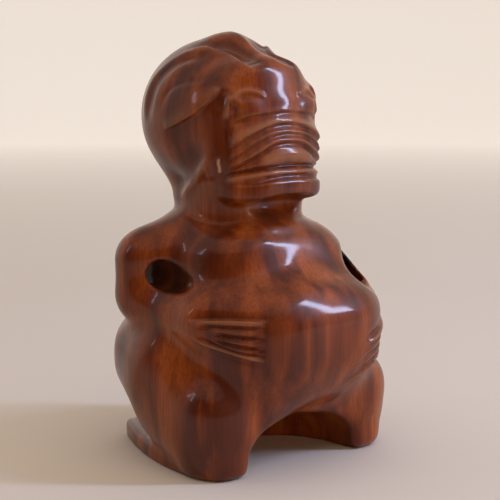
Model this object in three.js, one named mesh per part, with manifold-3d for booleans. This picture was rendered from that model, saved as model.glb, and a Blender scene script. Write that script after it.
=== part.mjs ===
import * as THREE from 'three';
import { MarchingCubes } from 'three/addons/objects/MarchingCubes.js';
import { mergeVertices } from 'three/addons/utils/BufferGeometryUtils.js';
import Module from 'manifold-3d';

// A squat standing figure carved from one block of polished dark hardwood. It holds its belly with
// both hands, a hole passes behind each arm, and its feet share a thin plinth.
// Millimetres, +Z up. The figure faces -Y and its own left is +X. The soles lie at z = 0.

// Driving dimensions. Places are given for the figure's left side as [x, y, z] and are mirrored to
// the right, "half" holds half sizes along x, y and z, "round" is 2 for an ellipsoid and more for a
// squarer block, and "blend" is the width over which a mass flows into its neighbours.
const HEIGHT = 220;
const HEAD = { centre: [0, 15, 177], half: [42.5, 48, 41.5], frontHalf: 35, round: 2.05, blend: 4 };
const CREST = {
  back: [0, 8, HEIGHT - 14], front: [0, -12.2, 193.8], backRadius: 14, frontRadius: 10, blend: 9,
};
const CREST_VALLEY = { back: [12, 13, 246], front: [8, -22, 224.7], radius: 18, blend: 8 };
const EYE_BULGE = { centre: [22.8, -4.9, 182.8], half: [16, 17.9, 16.8], blend: 10 };
const FOREHEAD = { centre: [0, -11.8, 193], half: [25, 15.3, 15.5], round: 2.5, blend: 7 };
const NOSE = { centre: [0, -13, 183], half: [23, 17.5, 11], round: 2.2, blend: 8 };
const NOSTRIL = { centre: [18, -23, 183.5], half: [8.5, 6, 5.5], blend: 5 };
const MUZZLE = { centre: [0, -4, 160], half: [35.5, 30.5, 25], round: 2.6, blend: 8 };
const CHIN = { centre: [0, -4, 142], half: [30.5, 33.5, 8.5], round: 3.4, blend: 3 };
const CHIN_HOLLOW = { centre: [0, -38, 132.5], half: [23.5, 20, 7.2], round: 2.3, blend: 2 };
const NAPE_LOBE = { top: [15.5, 29.5, 156], foot: [17, 22, 134], topRadius: 11, footRadius: 9.5, blend: 8 };
const NAPE_GROOVE = { top: [0, 66, 200], foot: [0, 52, 130], topRadius: 6, footRadius: 10, blend: 6 };
const NECK = { centre: [0, 1, 134], half: [31.5, 32.5, 30], frontHalf: 26.5, round: 2.4, blend: 4 };
const TRUNK = { centre: [0, 13, 98], half: [47.5, 28.5, 38], round: 2.3 };
const CHEST = { centre: [0, -3, 99], half: [46, 37, 26.5], round: 3.1, blend: 14 };
const BELLY = { centre: [0, -10, 69.5], half: [52, 55.3, 31.5], round: 2.85, blend: 14 };
const BREAST = { top: [0, -12, 100], foot: [0, -22, 78], topRadius: 23, footRadius: 35, blend: 8 };
const COLLAR = { centre: [0, -14, 119.5], half: [27, 18.5, 7.5], round: 2.3, blend: 3 };
const FLANK = { centre: [28, -8, 27], half: [32.5, 37, 26], round: 2.3, blend: 9 };
const LOIN = { centre: [0, -31, 49], half: [38, 26, 20], round: 2.4, blend: 15 };
const ARM = { shoulder: [49, 21, 104.5], elbow: [48.5, 21, 87], radius: 16, blend: 14 };
const FOREARM = {
  elbow: [49.5, 20.5, 84.5], wrist: [47.5, -25.5, 78], elbowRadius: 12, wristRadius: 9.5, blend: 8,
};
const PALM = { end: [35.5, -37.5, 76.5], radius: 7.5 };
const HIPS = { centre: [0, 12, 50.5], half: [62, 52.5, 34], round: 2.5, blend: 7 };
const SEAT = { centre: [0, 14, 18], half: [40, 26, 22], round: 2.4, blend: 8 };
const THIGH = { hip: [41, 4, 49], knee: [44, -27.5, 35], hipRadius: 24.5, kneeRadius: 16.5, blend: 10 };
const SHIN = { knee: [44.5, -29.5, 32], ankle: [43, -24, 10], kneeRadius: 14, ankleRadius: 13.5, blend: 12 };
const HEEL = { back: [37.5, 10, 30], front: [42.5, -26, 15], backRadius: 22, frontRadius: 17, blend: 14 };
const FOOT = { centre: [41, -30.5, 6.5], half: [14.5, 15, 8], round: 2.6, blend: 4 };
const INSTEP = { centre: [46, -57, 15], half: [12, 10, 6.5], blend: 3 };
const LEG_ARCH = { centre: [0, -42, 0], half: [34, 50, 25], round: 2.7, blend: 4 };
const PLINTH = {
  halfWidth: 57, backHalfWidth: 37.5, front: -20, taperFrom: -12, back: 58, height: 9, bow: 1.8,
  edge: 3, blend: 2,
};
const ARM_HOLE = {
  front: [52, -8], back: [51.5, 36], z: 98.7, frontHalf: 6, backHalf: 5.2, halfHeight: 7.6, end: 12, blend: 2,
};
const ARM_DISH = { centre: [66, -8, 98], half: [9, 18, 13], blend: 7 };

// The crook of the left arm, on that side only: a thin rim in front of the hole, with its opening
// turned towards the chest
const CROOK_HOLLOW = { centre: [56.5, -43.5, 99.5], half: [19.6, 23.5, 14], round: 2.2, blend: 5 };
const CROOK_RIM = { top: [52.6, 3, 112], foot: [56.8, -27.2, 86], radius: 5.2, blend: 4 };
const CROOK_OPENING = {
  top: [50.6, -6, 103], foot: [54.9, -27.5, 88], topRadius: 5.2, footRadius: 4.4, blend: 1,
};

// The left arm and leg sit a little wider and further forward than the right ones
const LEAN = { out: 5, forward: 2.5, from: 5, to: 45, lowerZ: 96, upperZ: 122 };

// Carved bands of the mouth from the nose down. A band lies at "top" in the middle and falls by
// "drop" towards the corner, along a curve of the given power. Grooves have a negative rise.
const MOUTH_BANDS = [
  { top: 181.7, drop: 3.5, corner: 26, power: 2, rise: -1.6, width: 1.7 },
  { top: 178, drop: 7, corner: 28, power: 1.7, rise: 0.7, width: 1.8 },
  { top: 175.2, drop: 8.3, corner: 29, power: 1.7, rise: -1.4, width: 1.3 },
  { top: 170.1, drop: 7.8, corner: 27, power: 1.7, rise: -1.2, width: 1.2 },
  { top: 167.4, drop: 14, corner: 30, power: 1.6, rise: 0.7, width: 1.6 },
  { top: 164.6, drop: 11.5, corner: 28, power: 1.6, rise: -1.4, width: 1.4 },
  { top: 159.2, drop: 7, corner: 28, power: 1.6, rise: 0.8, width: 3.2 },
  { top: 153.9, drop: 3.8, corner: 29, power: 2, rise: -1.6, width: 1.4 },
  { top: 150.8, drop: 3.2, corner: 29, power: 1.5, rise: 0.8, width: 1.5 },
  { top: 148, drop: 2.8, corner: 25, power: 1.5, rise: -1, width: 1.2 },
];
const MOUTH = { end: 31.5, fade: 3, frontFrom: -6, frontTo: -16 };
const MOUTH_CORNER = { x: 32, depth: 1.4, width: 1.8, low: 139, high: 170, fade: 3 };

// The goggle eye is drawn on a plane beside the head: across, towards the nose, and up
const EYE = {
  centre: [40, -2, 188],
  out: [0.9013, -0.3605, 0.2403],
  across: [-0.3483, -0.9328, -0.0929],
  up: [-0.2577, 0, 0.9662],
  deepest: -32,
  full: -18,
};
const EYEBALL = { across: -1, up: -3, tilt: 34, length: 10, height: 4.7, rise: 1.6 };
const BROW_RIM = [[-33, -12], [-33, -3.5], [-30, 9], [-23, 16], [-13, 25], [0, 30], [10, 27], [30, 21.5]];
const SOCKET = [[-26.5, -13], [-27, -2], [-22.5, 13.5], [-17, 19.5], [-2.5, 24.5], [3.5, 23.5]];
const UPPER_LID = [[-18.5, -10.5], [-16.5, 0.5], [-13, 5.5], [-6.5, 8.5], [4, 10.5], [12.5, 9], [16.5, 5]];
const LOWER_LID = [[-14, -17], [-6.5, -14.5], [0, -11.5], [8, -5], [16, 3]];
const UNDER_LID = [[-13, -21], [-5, -18.3], [2, -15], [10.5, -8.3], [18.5, -0.5]];
const EYE_LINES = [
  { rise: 1.1, width: 2.2, line: BROW_RIM },
  { rise: -1.8, width: 2.2, line: SOCKET },
  { rise: -1.1, width: 1.6, line: UPPER_LID },
  { rise: 1.2, width: 1.8, line: LOWER_LID },
  { rise: -2, width: 2.2, line: UNDER_LID },
];

// The edge where the back of the head meets the neck, seen from the side as [y, z]
const JAW_EDGE = [[-14, 157], [3, 144], [16, 134]];
const JAW = { ridge: 1.2, ridgeWidth: 2, hollow: 2.2, hollowWidth: 5, hollowShift: 6, from: 22, to: 28 };

// The fingers fan out from the wrist to the tips, both given as [x, y]
const HAND = {
  wrist: [60, -28], tips: [35, -57], top: 81.5, tipTop: 82, low: 73.5, tipLow: 62,
  starts: [-0.05, 0.1], ends: [1.06, 0.98], front: [0, -10], edge: 1.2,
  fingers: 5, raise: 1.6, groove: 1.3, grooveWidth: 0.9, grooveStarts: [0.2, 0.6],
};

// Sampling of the form in cells, and the number of faces that the finished solid keeps
const SPAN = 240;
const CELLS = 160;
const BLOCK = 4;
const CELL = SPAN / CELLS;
const FLOOR_ROOM = 14;
const LEAST_CLEARANCE = 0.03 * CELL;
const FAR_FROM_SURFACE = 1.7 * BLOCK * CELL;
const SLOPE_STEP = 0.2;
const LONGEST_STEP = 0.4 * CELL;
const MOST_TRIANGLES = 300000;
const FACES = 9800;

// The least turn (as a cosine) and the least shape (area to longest edge) of a face left by thinning
const LEAST = { turn: 0.4, shape: 0.08 };

// Zones with fine carving, where more faces are kept
const FINE = { weight: 5, chinZ: 137, eyeZ: 164, eyeX: 20, eyeY: 22, hand: [30, -29, 60, 86], fade: 5 };

const { abs, cos, exp, hypot, max, min, pow, sin } = Math;
const clamp = (value, low, high) => min(max(value, low), high);
const bell = (distance, width) => exp(-distance * distance / (2 * width * width));

// Eases from 0 at "from" to 1 at "to"
function ease(from, to, value) {
  const t = clamp((value - from) / (to - from), 0, 1);
  return t * t * (3 - 2 * t);
}

// Distances are negative inside the wood. join() adds two masses with a soft valley between them,
// and cut() takes the second away from the first with a softened edge.
function join(a, b, blend) {
  const h = max(blend - abs(a - b), 0) / blend;
  return min(a, b) - h * h * blend / 4;
}
const cut = (a, b, blend) => -join(-a, b, blend);

// Distance to a rounded block, which may reach less far to the front than to the back
function mass([x, y, z], { centre, half, frontHalf = half[1], round = 2 }) {
  const halves = [half[0], y < centre[1] ? frontHalf : half[1], half[2]];
  const parts = [x, y, z].map((value, i) => abs(value - centre[i]) / halves[i]);
  const reach = pow(pow(parts[0], round) + pow(parts[1], round) + pow(parts[2], round), 1 / round) || 1e-9;
  const slope = parts.map((part, i) => pow(part / reach, round - 1) / halves[i]);
  return (reach - 1) / hypot(...slope);
}

// Distance to a round limb that tapers from a to b
function limb([x, y, z], a, b, radiusA, radiusB = radiusA) {
  const [dx, dy, dz] = [b[0] - a[0], b[1] - a[1], b[2] - a[2]];
  const along = ((x - a[0]) * dx + (y - a[1]) * dy + (z - a[2]) * dz) / (dx * dx + dy * dy + dz * dz);
  const t = clamp(along, 0, 1);
  const gap = hypot(x - a[0] - dx * t, y - a[1] - dy * t, z - a[2] - dz * t);
  return gap - (radiusA + (radiusB - radiusA) * t);
}

// Distance in a plane to a line through a few points
function lineDistance(u, v, line) {
  let nearest = Infinity;
  for (let i = 0; i + 1 < line.length; i += 1) {
    const [a, b] = line[i];
    const [du, dv] = [line[i + 1][0] - a, line[i + 1][1] - b];
    const t = clamp(((u - a) * du + (v - b) * dv) / (du * du + dv * dv), 0, 1);
    nearest = min(nearest, hypot(u - a - du * t, v - b - dv * t));
  }
  return nearest;
}

// Height of the carved rings around one goggle eye
function eyeRelief([x, y, z]) {
  const from = [x - EYE.centre[0], y - EYE.centre[1], z - EYE.centre[2]];
  const onto = (axis) => from[0] * axis[0] + from[1] * axis[1] + from[2] * axis[2];
  const shown = ease(EYE.deepest, EYE.full, onto(EYE.out));
  if (shown === 0) return 0;
  const [across, up] = [onto(EYE.across), onto(EYE.up)];
  const tilt = THREE.MathUtils.degToRad(EYEBALL.tilt);
  const [du, dv] = [across - EYEBALL.across, up - EYEBALL.up];
  const long = (du * cos(tilt) + dv * sin(tilt)) / EYEBALL.length;
  const tall = (dv * cos(tilt) - du * sin(tilt)) / EYEBALL.height;
  let height = EYEBALL.rise * bell(hypot(long, tall), 1);
  for (const { rise, width, line } of EYE_LINES) {
    height += rise * bell(lineDistance(across, up, line), width);
  }
  return height * shown;
}

// Height of the lips, tongue and grooves across the muzzle
function mouthRelief([x, y, z]) {
  const inFront = ease(MOUTH.frontFrom, MOUTH.frontTo, y);
  if (inFront === 0) return 0;
  let height = 0;
  for (const { top, drop, corner, power, rise, width } of MOUTH_BANDS) {
    height += rise * bell(z - top + drop * pow(x / corner, power), width);
  }
  const { low, high, fade } = MOUTH_CORNER;
  const beside = ease(low - fade, low + fade, z) * ease(high + fade, high - fade, z);
  const crease = MOUTH_CORNER.depth * bell(x - MOUTH_CORNER.x, MOUTH_CORNER.width) * beside;
  return (height * ease(MOUTH.end, MOUTH.end - MOUTH.fade, x) - crease) * inFront;
}

// The ridge where the back of the head meets the neck, with a hollow above it
function jawRelief([x, y, z]) {
  const ridge = JAW.ridge * bell(lineDistance(y, z, JAW_EDGE), JAW.ridgeWidth);
  const above = lineDistance(y - JAW.hollowShift, z - JAW.hollowShift, JAW_EDGE);
  return (ridge - JAW.hollow * bell(above, JAW.hollowWidth)) * ease(JAW.from, JAW.to, x);
}

function head(p) {
  let d = join(mass(p, HEAD), mass(p, EYE_BULGE), EYE_BULGE.blend);
  d = join(d, limb(p, CREST.back, CREST.front, CREST.backRadius, CREST.frontRadius), CREST.blend);
  d = cut(d, limb(p, CREST_VALLEY.back, CREST_VALLEY.front, CREST_VALLEY.radius), CREST_VALLEY.blend);
  for (const part of [FOREHEAD, NOSE, MUZZLE, CHIN, NOSTRIL]) d = join(d, mass(p, part), part.blend);
  for (const [part, combine] of [[NAPE_LOBE, join], [NAPE_GROOVE, cut]]) {
    d = combine(d, limb(p, part.top, part.foot, part.topRadius, part.footRadius), part.blend);
  }
  return d - eyeRelief(p) - mouthRelief(p);
}

function arm(p) {
  const upper = limb(p, ARM.shoulder, ARM.elbow, ARM.radius);
  const fore = limb(p, FOREARM.elbow, FOREARM.wrist, FOREARM.elbowRadius, FOREARM.wristRadius);
  const palm = limb(p, FOREARM.wrist, PALM.end, FOREARM.wristRadius, PALM.radius);
  return join(join(upper, fore, FOREARM.blend), palm, FOREARM.blend);
}

function leg(p) {
  const thigh = limb(p, THIGH.hip, THIGH.knee, THIGH.hipRadius, THIGH.kneeRadius);
  const shin = limb(p, SHIN.knee, SHIN.ankle, SHIN.kneeRadius, SHIN.ankleRadius);
  const heel = limb(p, HEEL.back, HEEL.front, HEEL.backRadius, HEEL.frontRadius);
  return join(join(join(thigh, shin, SHIN.blend), heel, HEEL.blend), mass(p, FOOT), FOOT.blend);
}

function torso(p) {
  let d = join(mass(p, TRUNK), mass(p, CHEST), CHEST.blend);
  d = join(d, mass(p, BELLY), BELLY.blend);
  d = join(d, limb(p, BREAST.top, BREAST.foot, BREAST.topRadius, BREAST.footRadius), BREAST.blend);
  d = join(d, mass(p, COLLAR), COLLAR.blend);
  d = join(d, arm(p), ARM.blend);
  d = join(d, mass(p, HIPS), HIPS.blend);
  d = join(d, mass(p, SEAT), SEAT.blend);
  d = join(d, leg(p), THIGH.blend);
  d = join(d, mass(p, FLANK), FLANK.blend);
  return join(d, mass(p, LOIN), LOIN.blend);
}

// The thin plinth under the heels, narrower towards the back
function plinth([x, y, z]) {
  const taper = clamp((y - PLINTH.taperFrom) / (PLINTH.back - PLINTH.taperFrom), 0, 1);
  const halfWidth = PLINTH.halfWidth - (PLINTH.halfWidth - PLINTH.backHalfWidth) * pow(taper, PLINTH.bow);
  const sides = [x - halfWidth, PLINTH.front - y, y - PLINTH.back];
  return sides.reduce((d, side) => -join(-d, -side, PLINTH.edge), abs(z) - PLINTH.height);
}

// The hole behind the arm, rounded off where it meets the front of the chest
function armHole([x, y, z]) {
  const { front, back, frontHalf, backHalf } = ARM_HOLE;
  const t = (y - front[1]) / (back[1] - front[1]);
  const middle = front[0] + (back[0] - front[0]) * t;
  const half = frontHalf + (backHalf - frontHalf) * clamp(t, 0, 1);
  const ahead = max(front[1] - y, 0) / ARM_HOLE.end;
  return (hypot((x - middle) / half, (z - ARM_HOLE.z) / ARM_HOLE.halfHeight, ahead) - 1) * half;
}

// The left arm's crook, carved from the distance to the rest of the figure
function crook(d, p) {
  const hollowed = cut(d, mass(p, CROOK_HOLLOW), CROOK_HOLLOW.blend);
  const rimmed = join(hollowed, limb(p, CROOK_RIM.top, CROOK_RIM.foot, CROOK_RIM.radius), CROOK_RIM.blend);
  const { top, foot, topRadius, footRadius, blend } = CROOK_OPENING;
  return cut(rimmed, limb(p, top, foot, topRadius, footRadius), blend);
}

// Height of one hand's fingers
function handRelief([x, y, z]) {
  const [reachX, reachY] = [HAND.tips[0] - HAND.wrist[0], HAND.tips[1] - HAND.wrist[1]];
  const length = reachX * reachX + reachY * reachY;
  const along = ((x - HAND.wrist[0]) * reachX + (y - HAND.wrist[1]) * reachY) / length;
  const shown = ease(...HAND.starts, along) * ease(...HAND.ends, along) * ease(...HAND.front, y);
  if (shown === 0) return 0;
  const t = clamp(along, 0, 1);
  const top = HAND.top + (HAND.tipTop - HAND.top) * t;
  const low = HAND.low + (HAND.tipLow - HAND.low) * t;
  const { edge } = HAND;
  let height = HAND.raise * ease(low - edge, low + edge, z) * ease(top + edge, top - edge / 2, z);
  const deep = HAND.groove * ease(...HAND.grooveStarts, along);
  for (let finger = 1; finger < HAND.fingers; finger += 1) {
    height -= deep * bell(z - top - (low - top) * finger / HAND.fingers, HAND.grooveWidth);
  }
  return height * shown;
}

// Distance to the whole figure
function figure(x, y, z) {
  const lean = ease(LEAN.from, LEAN.to, x) * (1 - ease(LEAN.lowerZ, LEAN.upperZ, z));
  const p = [abs(x - LEAN.out * lean), y + LEAN.forward * lean, z];
  let d = join(torso(p), mass(p, NECK), NECK.blend);
  if (z > CHEST.centre[2]) d = join(d, head(p), HEAD.blend) - jawRelief(p);
  d = join(d, plinth(p), PLINTH.blend);
  for (const hollow of [LEG_ARCH, INSTEP, ARM_DISH, CHIN_HOLLOW]) d = cut(d, mass(p, hollow), hollow.blend);
  d = cut(d, armHole(p), ARM_HOLE.blend);
  if (x > 0) d = crook(d, [x, y, z]);
  return d - handRelief(p);
}

// Place of a grid corner, or of a point between corners
function place(i, j, k) {
  return [(i - CELLS / 2) * CELL, (j - CELLS / 2) * CELL, k * CELL - FLOOR_ROOM];
}

// Fills one block of the grid, with a single value where the block is far from the surface
function sampleBlock(field, block) {
  const middle = figure(...place(...block.map((start) => start + (BLOCK - 1) / 2)));
  const distant = abs(middle) > FAR_FROM_SURFACE;
  for (let n = 0; n < BLOCK ** 3; n += 1) {
    const inside = [n % BLOCK, Math.floor(n / BLOCK) % BLOCK, Math.floor(n / BLOCK ** 2)];
    const [i, j, k] = block.map((start, axis) => start + inside[axis]);
    const d = distant ? middle : figure(...place(i, j, k));
    field[i + j * CELLS + k * CELLS * CELLS] = -(d < 0 ? min(d, -LEAST_CLEARANCE) : max(d, LEAST_CLEARANCE));
  }
}

// Moves a point onto the surface along the slope of the distance
function settle(x, y, z) {
  const e = SLOPE_STEP;
  const slope = [
    (figure(x + e, y, z) - figure(x - e, y, z)) / (2 * e),
    (figure(x, y + e, z) - figure(x, y - e, z)) / (2 * e),
    (figure(x, y, z + e) - figure(x, y, z - e)) / (2 * e),
  ];
  const steepness = slope[0] ** 2 + slope[1] ** 2 + slope[2] ** 2;
  const back = clamp(figure(x, y, z) / max(steepness, 1e-3), -LONGEST_STEP, LONGEST_STEP);
  return [x - slope[0] * back, y - slope[1] * back, z - slope[2] * back];
}

// The whole surface as one closed mesh
function surface() {
  const cubes = new MarchingCubes(CELLS, new THREE.Material(), false, false, MOST_TRIANGLES);
  cubes.isolation = 0;
  for (let n = 0; n < (CELLS / BLOCK) ** 3; n += 1) {
    const row = CELLS / BLOCK;
    const block = [n % row, Math.floor(n / row) % row, Math.floor(n / row ** 2)];
    sampleBlock(cubes.field, block.map((start) => start * BLOCK));
  }
  cubes.update();
  const loose = new THREE.BufferGeometry();
  const corners = cubes.positionArray.slice(0, cubes.count * 3);
  loose.setAttribute('position', new THREE.BufferAttribute(corners, 3));
  const merged = mergeVertices(loose, 1e-5);
  merged.scale(SPAN / 2, SPAN / 2, SPAN / 2).translate(0, 0, SPAN / 2 - FLOOR_ROOM);
  const { array } = merged.attributes.position;
  for (let i = 0; i < array.length; i += 3) {
    array.set(settle(array[i], array[i + 1], array[i + 2]), i);
  }
  return merged;
}

// A solid for joining and cutting, from a closed mesh
function solid(wasm, geometry) {
  const vertProperties = geometry.attributes.position.array;
  return new wasm.Manifold(new wasm.Mesh({
    numProp: 3, vertProperties, triVerts: Uint32Array.from(geometry.index.array),
  }));
}

// Cuts the form off flat at z = 0
function trimSole(wasm, geometry) {
  const block = new THREE.BoxGeometry(2 * SPAN, 2 * SPAN, SPAN).translate(0, 0, -SPAN / 2);
  block.deleteAttribute('normal');
  block.deleteAttribute('uv');
  const mesh = solid(wasm, geometry).subtract(solid(wasm, mergeVertices(block))).getMesh();
  return { points: Float64Array.from(mesh.vertProperties), faces: Uint32Array.from(mesh.triVerts) };
}

// A queue that gives back the entry of least cost
class Queue {
  entries = [];

  push(entry) {
    const { entries } = this;
    let at = entries.push(entry) - 1;
    while (at > 0 && entries[(at - 1) >> 1].cost > entry.cost) {
      entries[at] = entries[(at - 1) >> 1];
      at = (at - 1) >> 1;
    }
    entries[at] = entry;
  }

  pop() {
    const { entries } = this;
    const first = entries[0];
    const last = entries.pop();
    if (entries.length === 0) return first;
    let at = 0;
    for (;;) {
      let child = 2 * at + 1;
      if (child + 1 < entries.length && entries[child + 1].cost < entries[child].cost) child += 1;
      if (child >= entries.length || entries[child].cost >= last.cost) break;
      entries[at] = entries[child];
      at = child;
    }
    entries[at] = last;
    return first;
  }
}

// Merges vertices into their neighbours, always where the form loses least. Each vertex carries the
// summed squared distance to the planes of the faces around it, as ten sums.
class Thinning {
  constructor({ points, faces }) {
    this.points = points;
    this.faces = faces;
    this.count = faces.length / 3;
    const vertices = points.length / 3;
    this.around = Array.from({ length: vertices }, () => new Set());
    this.planes = new Float64Array(10 * vertices);
    this.stamp = new Uint32Array(vertices);
    this.queue = new Queue();
    for (let f = 0; f < this.count; f += 1) this.addPlane(f);
  }

  corners(f) {
    return [this.faces[3 * f], this.faces[3 * f + 1], this.faces[3 * f + 2]];
  }

  at(v) {
    return new THREE.Vector3().fromArray(this.points, 3 * v);
  }

  // Normal of a face with twice its area as length, where one corner may be moved to another
  normal(f, moved = -1, target = -1) {
    const [a, b, c] = this.corners(f).map((v) => this.at(v === moved ? target : v));
    return b.sub(a).cross(c.sub(a));
  }

  addPlane(f) {
    const normal = this.normal(f);
    const size = max(normal.length(), 1e-12);
    const { x, y, z } = normal.divideScalar(size);
    const corner = this.at(this.faces[3 * f]);
    const d = -normal.dot(corner);
    const weight = size * fineness(corner);
    const sums = [x * x, x * y, x * z, x * d, y * y, y * z, y * d, z * z, z * d, d * d];
    for (const v of this.corners(f)) {
      this.around[v].add(f);
      sums.forEach((sum, i) => { this.planes[10 * v + i] += weight * sum; });
    }
  }

  neighbours(v) {
    const found = new Set();
    for (const f of this.around[v]) this.corners(f).forEach((other) => found.add(other));
    found.delete(v);
    return found;
  }

  // What the form loses when one vertex goes to another, with a small part for the way between them
  cost(from, to) {
    const { x, y, z } = this.at(to);
    const s = Array.from({ length: 10 }, (_, i) => this.planes[10 * from + i] + this.planes[10 * to + i]);
    const squares = s[0] * x * x + s[4] * y * y + s[7] * z * z + s[9];
    const products = s[1] * x * y + s[2] * x * z + s[3] * x + s[5] * y * z + s[6] * y + s[8] * z;
    return squares + 2 * products + 1e-3 * this.at(from).distanceToSquared(this.at(to));
  }

  onSole(v) {
    return abs(this.points[3 * v + 2]) < 1e-4;
  }

  offer(from, to) {
    if (this.onSole(from) && !this.onSole(to)) return;
    const stamps = this.stamp[from] + this.stamp[to];
    this.queue.push({ cost: this.cost(from, to), from, to, stamps });
  }

  // A merge is refused where it would pinch the surface, turn a face far over or leave a sliver
  allowed(from, to, least) {
    const shared = this.neighbours(to);
    if ([...this.neighbours(from)].filter((v) => shared.has(v)).length !== 2) return false;
    for (const f of this.around[from]) {
      if (this.corners(f).includes(to)) continue;
      const [before, after] = [this.normal(f), this.normal(f, from, to)];
      if (before.dot(after) < least.turn * before.length() * after.length()) return false;
      const [a, b, c] = this.corners(f).map((v) => this.at(v === from ? to : v));
      const longest = max(a.distanceToSquared(b), b.distanceToSquared(c), c.distanceToSquared(a));
      if (after.length() < least.shape * longest) return false;
    }
    return true;
  }

  merge(from, to) {
    for (const f of [...this.around[from]]) {
      if (this.corners(f).includes(to)) {
        this.corners(f).forEach((v) => this.around[v].delete(f));
        this.count -= 1;
      } else {
        this.faces[3 * f + this.corners(f).indexOf(from)] = to;
        this.around[to].add(f);
      }
    }
    this.around[from].clear();
    this.stamp[from] += 1;
    this.stamp[to] += 1;
    for (let i = 0; i < 10; i += 1) this.planes[10 * to + i] += this.planes[10 * from + i];
  }

  // Works towards the wanted number of faces and returns the faces that are left
  run(wanted, least) {
    this.around.forEach((faces, v) => this.neighbours(v).forEach((other) => this.offer(v, other)));
    while (this.count > wanted && this.queue.entries.length > 0) {
      const { from, to, stamps } = this.queue.pop();
      if (this.stamp[from] + this.stamp[to] !== stamps || !this.allowed(from, to, least)) continue;
      this.merge(from, to);
      for (const other of this.neighbours(to)) {
        this.offer(to, other);
        this.offer(other, to);
      }
    }
    const kept = new Set(this.around.flatMap((faces) => [...faces]));
    return [...kept].flatMap((f) => this.corners(f));
  }
}

// How much finer the faces stay on the face and the hands
function fineness({ x, y, z }) {
  const { weight, chinZ, eyeZ, eyeX, eyeY, fade } = FINE;
  const [handX, handY, handLow, handHigh] = FINE.hand;
  const onFace = ease(chinZ - fade, chinZ, z) * ease(0, -2 * fade, y);
  const onEye = ease(eyeZ - fade, eyeZ, z) * ease(eyeX - fade, eyeX, abs(x)) * ease(eyeY + fade, eyeY, y);
  const besideHand = ease(handX - fade, handX, abs(x)) * ease(handY + fade, handY, y);
  const onHand = ease(handLow - fade, handLow, z) * ease(handHigh + fade, handHigh, z) * besideHand;
  return 1 + (weight - 1) * max(onFace, onEye, onHand);
}

// The carved solid, centred over the origin
function carve(wasm) {
  const thinning = new Thinning(trimSole(wasm, surface()));
  const faces = thinning.run(FACES, LEAST);
  const geometry = new THREE.BufferGeometry();
  geometry.setAttribute('position', new THREE.BufferAttribute(Float32Array.from(thinning.points), 3));
  geometry.setIndex(faces);
  const used = mergeVertices(geometry.toNonIndexed(), 1e-6);
  used.computeBoundingBox();
  const middle = used.boundingBox.getCenter(new THREE.Vector3());
  used.translate(-middle.x, -middle.y, 0);
  used.computeVertexNormals();
  return used;
}

const wasm = await Module();
wasm.setup();

const polishedWood = new THREE.MeshStandardMaterial({ color: '#6e3a20', roughness: 0.28, metalness: 0 });
const tiki = new THREE.Mesh(carve(wasm), polishedWood);
tiki.name = 'tiki_figure';

const group = new THREE.Group();
group.add(tiki);

export default group;
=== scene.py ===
"""Looks of a squat tiki figure, carved in the round from one block of rosewood and rubbed to a gloss."""

import logging
import math
from dataclasses import dataclass, replace
from enum import Enum
from typing import Callable, Sequence

import bmesh
import bpy
import numpy as np
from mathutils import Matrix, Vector


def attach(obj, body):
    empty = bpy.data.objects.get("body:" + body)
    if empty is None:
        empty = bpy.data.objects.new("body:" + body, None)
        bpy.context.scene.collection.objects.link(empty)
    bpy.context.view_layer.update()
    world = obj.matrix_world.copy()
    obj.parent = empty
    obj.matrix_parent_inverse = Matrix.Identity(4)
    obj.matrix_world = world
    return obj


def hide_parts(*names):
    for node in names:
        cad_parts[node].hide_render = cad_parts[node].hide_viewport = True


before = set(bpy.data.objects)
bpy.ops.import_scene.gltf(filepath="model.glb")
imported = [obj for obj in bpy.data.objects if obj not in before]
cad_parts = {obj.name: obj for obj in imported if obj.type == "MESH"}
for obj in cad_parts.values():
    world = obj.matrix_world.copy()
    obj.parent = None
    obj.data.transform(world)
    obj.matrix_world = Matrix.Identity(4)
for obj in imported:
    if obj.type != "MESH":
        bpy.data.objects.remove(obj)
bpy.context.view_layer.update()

LOG = logging.getLogger("tiki")
MM = 0.001
NODE = "tiki_figure"

Triple = tuple[float, float, float]
Pair = tuple[float, float]
Points = np.ndarray


def ease(start: float, stop: float, value: Points) -> Points:
    """Eases from 0 at start to 1 at stop.

    Args:
        start: Value at which the result leaves 0.
        stop: Value at which the result reaches 1.
        value: Array of values.

    Returns:
        Array of the same shape, between 0 and 1.
    """
    t = np.clip((value - start) / (stop - start), 0.0, 1.0)
    return t * t * (3.0 - 2.0 * t)


def bell(distance: Points, width: float) -> Points:
    """Returns a smooth bump of height 1 around distance 0."""
    return np.exp(-0.5 * (distance / width) ** 2)


def join(a: Points, b: Points, blend: float) -> Points:
    """Adds two masses, with a soft valley of the given width where they meet."""
    h = np.maximum(blend - np.abs(a - b), 0.0) / blend
    return np.minimum(a, b) - h * h * blend / 4.0


def cut(a: Points, b: Points, blend: float) -> Points:
    """Takes the second mass away from the first, with a softened edge."""
    return -join(-a, b, blend)


@dataclass(frozen=True)
class Mass:
    """A rounded block of wood in millimetres, mirrored to both sides of the figure."""

    centre: Triple
    half: Triple
    round: float = 2.0
    blend: float = 0.0
    front_half: float | None = None

    def distance(self, p: Points) -> Points:
        """Returns the distance of each point to the block, negative inside it.

        Args:
            p: Points as three rows, x, y and z.

        Returns:
            One distance for each point.
        """
        x, y, z = (np.abs(p[i] - self.centre[i]) for i in range(3))
        half_y = np.full_like(y, self.half[1])
        if self.front_half is not None:
            half_y[p[1] < self.centre[1]] = self.front_half
        parts = (x / self.half[0], y / half_y, z / self.half[2])
        reach = sum(part ** self.round for part in parts) ** (1.0 / self.round)
        reach = np.maximum(reach, 1e-9)
        slopes = (
            (part / reach) ** (self.round - 1.0) / half
            for part, half in zip(parts, (self.half[0], half_y, self.half[2]))
        )
        return (reach - 1.0) / np.sqrt(sum(slope * slope for slope in slopes))


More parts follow.
